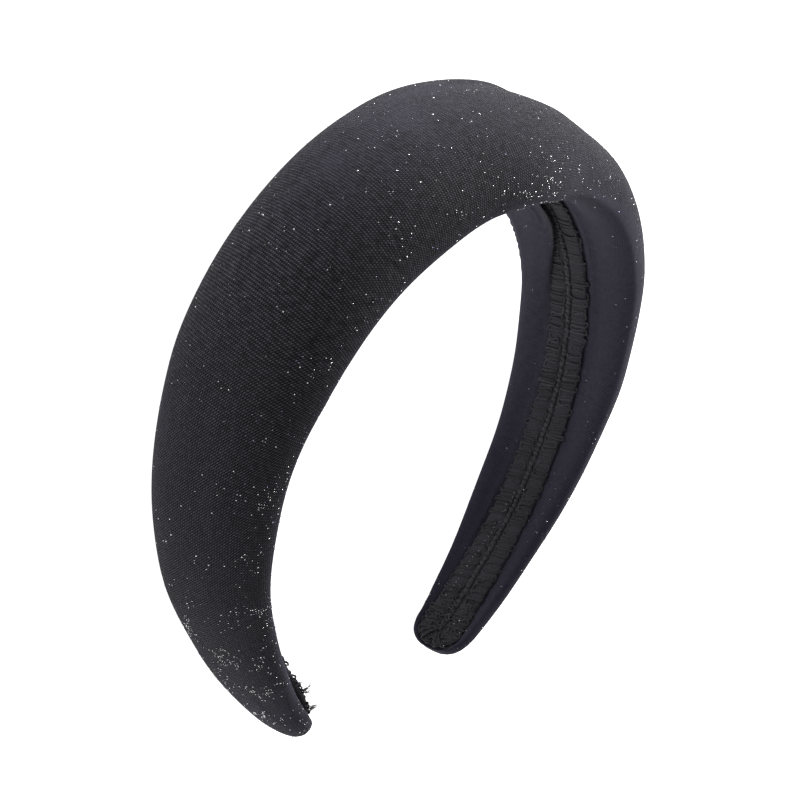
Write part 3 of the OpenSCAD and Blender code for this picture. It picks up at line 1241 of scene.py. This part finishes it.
@dataclass(frozen=True)
class GlitterThreads:
    """Flecks of the metallic thread that come to the surface at some stitches, in loose clusters."""

    cover: PaddedCover
    knit: KnitFinish
    trim: "BraidTrim"
    density: float = 0.140
    half_long: float = 0.19
    half_wide: float = 0.13
    half_thick: float = 0.06
    lift: float = 0.05
    wobble: float = 0.04
    seed: int = 21
    row_reach: int = 110
    column_margin: int = 20
    seen: tuple[tuple[float, float, float], ...] = (
        (177.1, -2.6, 1.0),
        (175.8, -3.3, 0.9),
        (178.6, -5.2, 0.7),
        (183.6, -3.6, 0.7),
        (139.0, -1.0, 0.9),
    )

    def stitches(self) -> tuple[Array, Array]:
        """Places of the stitches: the knit's column and row counts, solved for the two distances.

        Returns:
            Distances along the band and across the cloth.
        """
        k = self.knit
        reach = int(self.cover.form.half_len * abs(k.columns_along)) + self.column_margin
        counts = (np.arange(-far, far) for far in (reach, self.row_reach))
        c, r = (count.ravel() + 0.5 for count in np.meshgrid(*counts, indexing="ij"))
        turn = k.columns_along * k.rows_across - k.columns_across * k.rows_along
        s = (c * k.rows_across - r * k.columns_across) / turn
        return s, (r * k.columns_along - c * k.rows_along) / turn

    def chance(self, s: Array, a: Array) -> Array:
        """Chance that a stitch shows its metallic thread: clusters, and more at tips, crown and front edge.

        Args:
            s: signed distances along the band.
            a: distances across the cloth from the ridge.

        Returns:
            The chances, in the shape of s.
        """
        k = self.knit
        u = np.abs(s) / self.cover.form.half_len
        cluster = 0.55 + 0.8 * drift(31, (16, 12), s, a) + 0.7 * drift(32, (4, 3), s, a)
        cluster = np.clip(cluster, 0, None) ** 2
        wide = self.cover.form.half_w(np.clip(u, 0, 1))
        front = 1.4 * bell(a + wide + 4, 6) * bell(u - 0.49, 0.23)
        front = front + 2.2 * bell(a + wide + 6, 7) * bell(s + 1, 19)
        where = 0.6 + 3.0 * ramp(u, 0.60, 0.15) * (1 - 0.5 * ramp(u, 0.80, 0.1))
        where = where + 3.2 * front + 0.6 * bell(s + 14, 26)
        inner = np.abs(a) > wide + 9
        per_stitch = 1 / (k.columns_along * k.rows_across)
        return self.density * per_stitch * cluster * where * np.where(inner | (s > 60), 0.32, 1.0)

    def strays(self) -> Array:
        """Flecks caught in the trim near the right tip: a loose row of dim ones and five that stand out.

        Returns:
            Rows of place along, place across and tone.
        """
        rng = np.random.default_rng(self.seed + 1)
        start, step = 141.0, 1.15
        s = np.arange(start, 171.0, step)
        s = s + rng.normal(0, 0.2, s.shape)
        across = 1.2 + (s - start) / 14 + rng.normal(0, 0.25, s.shape)
        row = np.stack([s, across, rng.uniform(0.4, 0.66, s.shape)], axis=1)
        return np.concatenate([row, self.seen])

    def build(self) -> bpy.types.Object:
        """All flecks as one mesh: flat six-sided lozenges, each turned a little its own way.

        Over the hollow's edge, at the left tip and down the right arm they are duller.

        Returns:
            The dressed piece.
        """
        rng = np.random.default_rng(self.seed)
        s, a = self.stitches()
        s, a = s + rng.normal(0, self.wobble, s.shape), a + rng.normal(0, self.wobble, a.shape)
        taken = (rng.random(s.shape) < self.chance(s, a)) & (np.abs(s) < self.cover.form.half_len - 0.6)
        s, a = s[taken], a[taken]
        points, normal, inside = self.cover.at(s, a)
        points, normal, s, a = points[inside], normal[inside], s[inside], a[inside]
        stray = self.strays()
        points = np.concatenate([points, self.trim.settled(stray[:, 0], stray[:, 1], 1.5 + 0 * stray[:, 0])])
        normal = np.concatenate([normal, -self.trim.form.outward(stray[:, 0])])
        count = len(points)
        tilt = unit(normal + rng.normal(0, 0.42, (count, 3)))
        across = unit(np.cross(np.cross(tilt, rng.normal(0, 0.35, (count, 3)) + [0, 0, 1]), tilt))
        side = np.cross(tilt, across)
        size = rng.uniform(0.7, 1.25, (count, 1, 1)) * MM
        by_hollow = bell(s - 4, 24) * bell(a + 34, 9)
        size[:len(s), 0, 0] *= 1 + 0.2 * by_hollow
        turn = FULL_TURN / 6 * np.arange(6)
        rim = (across[:, None] * (self.half_long * np.cos(turn))[None, :, None]
               + side[:, None] * (self.half_wide * np.sin(turn))[None, :, None])
        poles = tilt[:, None] * (self.half_thick * np.array([1, -1]))[None, :, None]
        lift = (normal * self.lift * MM)[:, None]
        lozenges = points[:, None] + lift + np.concatenate([rim, poles], axis=1) * size
        first = np.arange(6)
        beside = (first + 1) % 6
        fan = np.concatenate([
            np.stack([first, beside, np.full(6, 6)], axis=1),
            np.stack([beside, first, np.full(6, 7)], axis=1),
        ])
        faces = (fan[None] + 8 * np.arange(count)[:, None, None]).reshape(-1, 3)
        bright = 1 - 0.75 * bell(s + 180, 46) - 0.70 * by_hollow
        dulled = (1 - 0.5 * bell(s - 24, 18) * bell(a + 10, 18)) * np.where(s > 60, 0.75, 1.0)
        tone = (1 - (1 - rng.beta(1.1, 0.9, len(s))) * bright) * dulled
        tone = np.repeat(np.concatenate([tone, stray[:, 2]]), 8)
        piece = make_mesh("glitter_threads", lozenges.reshape(-1, 3), [faces], kept={TONE: tone})
        piece.data.materials.append(GlitterFinish().material())
        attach(piece, "root")
        log.info("%d flecks", count)
        return piece


@dataclass(frozen=True)
class BraidTrim:
    """The braided trim: a ground tape with two ridges, and one thread looped back and forth round it.

    The tufts are where loose strands stand off the left end. The first part of the strands is split
    between them, the others are shorter and lie further apart.
    """

    form: BandForm
    pitch: float = 2.1
    reach: float = 2.25
    middle: float = 3.4
    ridge_half: float = 2.35
    ridge_low: float = 0.50
    ridge_rise: float = 0.45
    tape_steps: int = 150
    tape_points: int = 17
    end_shares: tuple[float, ...] = (0.35, 0.6, 0.8, 0.92, 0.98)
    edge_gap: float = 0.1
    thread_w: float = 0.60
    thread_t: float = 0.46
    thread_sides: int = 8
    per_loop: int = 22
    skew: float = 0.42
    sunk: float = 0.19
    peel_shift: float = 1.4
    end_reach: float = 1.9
    cord_steps: int = 2600
    cord_reach: float = 0.8
    link: float = 1.37
    tufts: tuple[float, float] = (-172.3, -180.0)
    strands: int = 44
    tuft_strands: int = 32
    curls: int = 100
    seed: int = 9

    @property
    def under(self) -> float:
        """Height of the tape's flat side over the seat."""
        return self.form.trim_gap * 0.5

    @property
    def straight(self) -> float:
        """Distance from the crown's top to where an end starts to round off."""
        return self.form.half_len - self.form.trim_end - self.form.trim_w / 2

    @cached_property
    def peel(self) -> Array:
        """Rows of signed distance along and how high the loose front edge stands there.

        Returns:
            (knots, 2) array in millimetres.
        """
        return np.array([
            [-190.0, 1.2],
            [-181.0, 2.0],
            [-173.0, 3.7],
            [-165.0, 4.0],
            [-150.0, 3.8],
            [-141.0, 2.6],
            [-128.0, 0.0],
        ])

    @cached_property
    def lie(self) -> Array:
        """Rows of signed distance along, how far to the back the trim is glued, and its width's factor.

        Returns:
            (knots, 3) array.
        """
        return np.array([
            [-190.0, 0.0, 1.0],
            [-60.0, 0.0, 1.0],
            [0.0, 0.0, 1.0],
            [30.0, 1.2, 1.0],
            [50.0, 2.2, 1.0],
            [66.0, 2.2, 1.0],
            [82.0, 1.5, 0.98],
            [96.0, 0.9, 0.96],
            [112.0, 0.3, 0.96],
            [128.0, 0.0, 0.96],
            [142.0, -0.5, 0.94],
            [160.0, -0.2, 0.98],
            [172.0, 0.0, 1.04],
            [183.0, 0.3, 1.10],
            [190.0, 0.4, 1.12],
        ])

    def ridge(self, off: Array) -> Array:
        """Height of the ground tape over the seat at a distance off a column's middle."""
        return self.ridge_low + self.ridge_rise * np.sqrt(np.clip(1 - (off / self.ridge_half) ** 2, 0, 1))

    def settled(self, s: Array, across: Array, lift: Array) -> Array:
        """Row-frame points of the trim, with the stretch near the left tip where it has come loose.

        There the front edge stands up by the peel's height, fading to nothing at the back edge, and the
        whole trim lies a little towards the front. Elsewhere it wanders off the middle as its lie says,
        and at the right tip it reaches further.

        Args:
            s: signed distances along the line.
            across: distances across the trim.
            lift: heights over the seat.

        Returns:
            (..., 3) array in metres.
        """
        stands = hermite(self.peel, 1, np.clip(s, *self.peel[[0, -1], 0]))
        side = ramp(-across, -2.5, 8, 1.1)
        end = smooth_step(ramp(s, 150, 30))
        known = np.clip(s, *self.lie[[0, -1], 0])
        moved = across * hermite(self.lie, 2, known) + hermite(self.lie, 1, known)
        moved = moved - self.peel_shift * stands / self.peel[:, 1].max()
        return self.form.place(s + self.end_reach * end, moved, -(lift + stands * side ** 1.3))

    def tape(self) -> bpy.types.Object:
        """The ground: a closed strip over the seat, whose inner side follows the two ridges.

        Row i lies across the band at one place along it; its points run from the front edge to the
        back edge on the head's side and return flat on the seat. An end is half a circle in plan.

        Returns:
            The dressed piece.
        """
        f = self.form
        round_off = f.trim_w / 2
        ends = self.straight + round_off * np.array(self.end_shares)
        half = np.concatenate([np.linspace(0, self.straight, self.tape_steps), ends])
        s = np.concatenate([-half[:0:-1], half])[:, None]
        share = np.sqrt(np.clip(1 - (np.clip(np.abs(s) - self.straight, 0, None) / round_off) ** 2, 0, 1))
        across = (round_off - self.edge_gap) * share * np.linspace(-1, 1, self.tape_points)
        top = self.under + self.ridge(np.abs(np.abs(across) - self.middle)) * (0.5 + 0.5 * share)
        across = np.concatenate([across, across[:, ::-1]], axis=1)
        points = self.settled(s, across, np.concatenate([top, np.full_like(top, self.under)], axis=1))
        rows, columns = points.shape[:2]
        quads = grid_faces(rows, columns, True)
        caps = np.stack([np.arange(columns)[::-1], np.arange(columns) + (rows - 1) * columns])
        own = np.stack(np.broadcast_arrays(s, across), axis=-1).reshape(-1, 2)
        uv = np.concatenate([own[quads].reshape(-1, 2), own[caps].reshape(-1, 2)]) / MAP_UNIT
        piece = make_mesh("trim_ground", points.reshape(-1, 3), [quads, caps], uv)
        piece.data.materials.append(TapeFinish().material())
        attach(piece, "root")
        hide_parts("trim_braid")
        return piece

    def stadium(self, t: Array) -> tuple[Array, Array, Array, Array]:
        """Place and outward direction on the loops' middle line, a stadium that runs round both columns.

        Up the back column, half a turn round one end, down the front column and half a turn round the
        other end.

        Args:
            t: running lengths.

        Returns:
            Distance along, distance across, and the two parts of the outward direction.
        """
        run, turn = 2 * self.straight, np.pi * self.middle
        t = np.mod(t, 2 * (run + turn))
        a = np.pi / 2 - (t - run) / self.middle
        b = -np.pi / 2 - (t - 2 * run - turn) / self.middle
        parts = [t < run, t < run + turn, t < 2 * run + turn, t >= 2 * run + turn]
        back, front = t - self.straight, self.straight - (t - run - turn)
        along = np.select(parts, [back, self.straight + self.middle * np.cos(a), front,
                                  -self.straight + self.middle * np.cos(b)])
        across = np.select(parts, [0 * t + self.middle, self.middle * np.sin(a), 0 * t - self.middle,
                                   self.middle * np.sin(b)])
        n_along = np.select(parts, [0 * t, np.cos(a), 0 * t, np.cos(b)])
        n_across = np.select(parts, [0 * t + 1, np.sin(a), 0 * t - 1, np.sin(b)])
        return along, across, n_along, n_across

    def loops(self) -> bpy.types.Object:
        """The looped thread: a rounded square wave across the stadium's line, arched over its ridge.

        The swing off the line is the reach times sin p over the root of sin squared p plus 0.14, where p
        counts one turn per loop, and the thread runs ahead and back by a part of sin 2p, which makes the
        loops full at their ends. Under the crown the front column lies sunk beside the cloth, with painted
        shade on it, and towards the right tip the thread darkens with painted shade.

        Returns:
            The dressed piece.
        """
        f = self.form
        rng = np.random.default_rng(self.seed)
        total = 2 * (2 * self.straight + np.pi * self.middle)
        loops = int(round(total / self.pitch))
        count = loops * self.per_loop
        p = FULL_TURN * np.arange(count) / self.per_loop
        t = total * np.arange(count) / count
        knots = np.arange(2 * loops + 1) * self.per_loop / 2
        along_off, reach_off, lift_off, tone = (
            np.interp(np.arange(count), knots, np.append(values, values[0]))
            for values in (*rng.normal(0, 1, (3, 2 * loops)), rng.random(2 * loops))
        )
        swing = np.sin(p) / np.sqrt(np.sin(p) ** 2 + 0.14)
        ahead = self.skew * swing - 0.30 * np.sin(2 * p) + 0.34 * along_off
        ahead = ahead + 0.3 * drift(13, (14, 9), t, 0 * t) + 0.28 * drift(19, (1.5, 9), 3 * t, 0 * t)
        off = self.reach * swing * (1 + 0.23 * reach_off)
        along, across, n_along, n_across = self.stadium(t + ahead)
        s = along + off * n_along
        y = across + off * n_across
        sunk_and_shaded = bell(s - 62, 22) * (across < 0)
        lift = self.ridge(off) + self.under + self.thread_t * 0.5 - self.sunk
        lift = lift + 0.15 * lift_off + 0.10 * np.cos(p) - 0.16 * sunk_and_shaded
        lean = unit(f.place(s, y + 0.5 * n_across, -lift) - f.place(s, y, -lift))
        share = (off / self.reach)[:, None]
        outward = unit(0.9 * lean * share * np.abs(share) - f.outward(s))
        wide = self.thread_w / 2 * (1 + 0.24 * drift(17, (1.4, 3), t, 0 * t)) * MM
        thick = self.thread_t / 2 * (1 + 0.20 * drift(18, (1.9, 3), t, 0 * t)) * MM
        points, faces, uv = tube(self.settled(s, y, lift), outward, wide, thick, self.thread_sides, True)
        # Tone at random, with painted shade towards the right tip and where the front column lies sunk under
        # the crown.
        tone = (0.1 + 0.9 * tone) * (1 - 0.9 * ramp(s, 105, 40)) * (1 - 0.6 * sunk_and_shaded)
        piece = make_mesh("trim_loops", points, faces, uv, {TONE: np.repeat(tone, self.thread_sides)})
        piece.data.materials.append(ThreadFinish().material())
        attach(piece, "root")
        log.info("%d loops, %d points", loops, count)
        return piece

    def middle_cord(self) -> bpy.types.Object:
        """The chain stitch that holds the two columns together: a cord in the groove that swells and dips.

        Its width, thickness and height go up and down by the cosine of the link, one turn per stitch, and
        it wanders across by the sine of half of that.

        Returns:
            The dressed piece.
        """
        f = self.form
        s = np.linspace(-self.straight - self.cord_reach, self.straight + self.cord_reach, self.cord_steps)
        link = FULL_TURN * s / self.link + 2.2 * drift(45, (9, 9), s, 0 * s)
        across = 0.16 * drift(41, (6.0, 9), s, 0 * s) + 0.14 * np.sin(link / 2)
        lift = self.under + 0.66 + 0.10 * drift(42, (3.5, 9), s, 0 * s) + 0.10 * np.cos(link)
        past = np.clip(np.abs(s) - self.straight, 0, self.cord_reach - 0.01) / self.cord_reach
        ends = np.sqrt(np.clip(1 - past ** 2, 0.02, 1))
        wide = (0.62 + 0.16 * np.cos(link) + 0.12 * drift(43, (2.6, 9), s, 0 * s)) * ends * MM
        thick = (0.28 + 0.10 * np.cos(link)) * ends * MM
        path = self.settled(s, across, lift)
        points, faces, uv = tube(path, -f.outward(s), wide, thick, self.thread_sides, False)
        # Tone at random, with painted shade towards the right tip.
        tone = np.clip(0.55 + 0.4 * drift(44, (2, 9), s, 0 * s), 0, 1) * (1 - 0.6 * ramp(s, 105, 40))
        piece = make_mesh("trim_middle", points, faces, uv, {TONE: np.repeat(tone, self.thread_sides)})
        piece.data.materials.append(ThreadFinish("middle_thread", ply=0.30, relief=0.00005).material())
        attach(piece, "root")
        return piece

    def frayed_ends(self) -> bpy.types.Object:
        """Loose fibres at the trim's front edge near the left tip, each a short strand that bends evenly.

        Returns:
            The dressed piece.
        """
        rng = np.random.default_rng(self.seed + 5)
        steps, tubes = 9, []
        share = np.linspace(0, 1, steps)
        for i in range(self.strands):
            in_tuft = i < self.tuft_strands
            root = self.tufts[i % 2] + rng.normal(0, 0.8 if in_tuft else 4.0)
            heading, curl = rng.normal(0.25, 0.35), rng.normal(0.3, 0.7)
            length = rng.uniform(1.3, 2.6) if in_tuft else rng.uniform(0.8, 1.5)
            turn = heading + curl * share
            along = root - np.cumsum(np.sin(turn)) * length / steps
            out = np.cumsum(np.cos(turn)) * length / steps
            path = self.settled(along, -5.2 - 0.5 * out, 1.2 + 0.85 * out)
            radius = rng.uniform(0.06, 0.10) * (1 - 0.6 * share) * MM
            tubes.append(tube(path, -self.form.outward(along), radius, radius, 5, False))
        points, faces, uv = join_tubes(tubes)
        piece = make_mesh("frayed_ends", points, faces, uv, {TONE: np.full(len(points), 0.9)})
        grey = ThreadFinish("frayed_thread", light=(0.110, 0.106, 0.118), ply=0.5, relief=0.00002)
        piece.data.materials.append(grey.material())
        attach(piece, "root")
        return piece

    def end_curls(self) -> bpy.types.Object:
        """Ends of the trim's thread, glued down in small curls over its end at the right tip.

        Each is most of a circle that opens out a little as it goes round.

        Returns:
            The dressed piece.
        """
        rng = np.random.default_rng(self.seed + 8)
        steps, sides, tubes, tones = 16, 6, [], []
        share = np.linspace(0, 1, steps)
        for _ in range(self.curls):
            s, y = 164 + 22.2 * np.sqrt(rng.random()), rng.uniform(-5.2, 5.2)
            edge = np.sqrt(max(1 - (max(s - 179.5, 0) / 7.2) ** 2, 0.05))
            turn = rng.uniform(0, FULL_TURN) + rng.choice([-1, 1]) * rng.uniform(3.4, 5.4) * share
            size = rng.uniform(0.42, 0.78) * (0.75 + 0.35 * share)
            along, across = s - 1.6 + size * np.cos(turn), y * edge + size * np.sin(turn)
            lift = 0.98 + rng.uniform(0, 0.35) + 0.12 * np.sin(turn * 0.5)
            path = self.settled(along, across, lift)
            radius = rng.uniform(0.14, 0.22) * (1 - 0.45 * share ** 3) * MM
            tubes.append(tube(path, -self.form.outward(along), radius, radius, sides, False))
            tones.append(rng.uniform(0.1, 0.75))
        points, faces, uv = join_tubes(tubes)
        piece = make_mesh("end_curls", points, faces, uv, {TONE: np.repeat(tones, steps * sides)})
        piece.data.materials.append(ThreadFinish("curled_thread").material())
        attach(piece, "root")
        return piece

    def build(self) -> list[bpy.types.Object]:
        """All pieces of the trim."""
        return [self.tape(), self.loops(), self.middle_cord(), self.frayed_ends(), self.end_curls()]


@dataclass(frozen=True)
class PhotoCamera:
    """The camera of the photograph, placed in the worn frame round the middle of the arch's height."""

    azimuth: float = -57.70
    elevation: float = 21.34
    roll: float = 10.17
    right_of_middle: float = -2.19
    above_middle: float = 8.49
    distance: float = 489.4
    focal: float = 2101.9
    image: float = 800.0
    sensor: float = 36.0
    near: float = 0.02
    far: float = 20.0

    def build(self, form: BandForm) -> bpy.types.Object:
        """Makes the camera and gives it to the scene.

        Args:
            form: the headband's form, for the pose it lies in.

        Returns:
            The camera.
        """
        a, e, r = np.radians([self.azimuth, self.elevation, self.roll])
        back = np.array([np.sin(a) * np.cos(e), -np.cos(a) * np.cos(e), np.sin(e)])
        level = np.array([np.cos(a), np.sin(a), 0.0])
        rise = np.cross(back, level)
        right = level * np.cos(r) + rise * np.sin(r)
        up = rise * np.cos(r) - level * np.sin(r)
        drop = form.line(np.array([form.half_len]))[1][0]
        target = np.array([0.0, 0.0, drop / 2]) + self.right_of_middle * right + self.above_middle * up
        place = form.laid(target + self.distance * back)
        axes = form.turned(np.stack([right, up, back]), form.rest[0]).T
        data = bpy.data.cameras.new("photo_camera")
        data.sensor_width = self.sensor
        data.lens = self.focal / self.image * self.sensor
        data.clip_start, data.clip_end = self.near, self.far
        camera = bpy.data.objects.new("photo_camera", data)
        camera.matrix_world = pose(axes, place)
        bpy.context.scene.collection.objects.link(camera)
        bpy.context.scene.camera = camera
        return camera


@dataclass(frozen=True)
class SoftLight:
    """One soft box: where it stands, which way it faces, its size and power."""

    name: str
    place: tuple[float, float, float]
    size: float
    power: float
    colour: Colour = (1.0, 1.0, 1.0)
    target: tuple[float, float, float] = (0.0, 0.0, 0.02)
    upright: tuple[float, float, float] = (0.0, 0.05, 1.0)

    def build(self) -> bpy.types.Object:
        """An area lamp that faces the middle of the headband.

        Returns:
            The lamp.
        """
        data = bpy.data.lights.new(self.name, "AREA")
        data.shape = "DISK"
        data.size, data.energy, data.color = self.size, self.power, self.colour
        lamp = bpy.data.objects.new(self.name, data)
        back = unit(np.array(self.place) - np.array(self.target))
        right = unit(np.cross(self.upright, back))
        lamp.matrix_world = pose(np.stack([right, np.cross(back, right), back], axis=1), np.array(self.place))
        bpy.context.scene.collection.objects.link(lamp)
        return lamp


@dataclass(frozen=True)
class Studio:
    """White floor, soft lights and the even light of a white room."""

    room: float = 0.6
    floor_half: float = 3.0
    lights: tuple[SoftLight, ...] = (SoftLight("back_box", (1.0, 0.62, 0.34), 0.5, 23.0),)

    def build(self) -> None:
        """Makes the floor, the lights and the world, and picks the plain colour transform."""
        square = self.floor_half * np.array([[-1, -1, 0], [1, -1, 0], [1, 1, 0], [-1, 1, 0]])
        floor = make_mesh("pale_floor", square, [np.array([[0, 1, 2, 3]])])
        floor.data.materials.append(StudioFinish().material())
        for light in self.lights:
            light.build()
        world = bpy.data.worlds.new("white_room")
        world.use_nodes = True
        backdrop = world.node_tree.nodes["Background"]
        backdrop.inputs["Color"].default_value = (1, 1, 1, 1)
        backdrop.inputs["Strength"].default_value = self.room
        bpy.context.scene.world = world
        bpy.context.scene.view_settings.view_transform = "Standard"


def main() -> None:
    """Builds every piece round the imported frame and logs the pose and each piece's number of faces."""
    logging.basicConfig(level=logging.INFO, format="%(name)s: %(message)s")
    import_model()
    form = BandForm()
    log.info("tilt %.3f degrees, middle %.3f, floor %.3f", np.degrees(form.rest[0]), *form.rest[1:])
    PhotoCamera().build(form)
    cover = PaddedCover(form)
    trim = BraidTrim(form)
    pieces = [cover.build(), GlitterThreads(cover, KnitFinish(), trim).build(), *trim.build()]
    for piece in pieces:
        log.info("%s: %d faces", piece.name, len(piece.data.polygons))
    Studio().build()


if __name__ == "__main__":
    main()
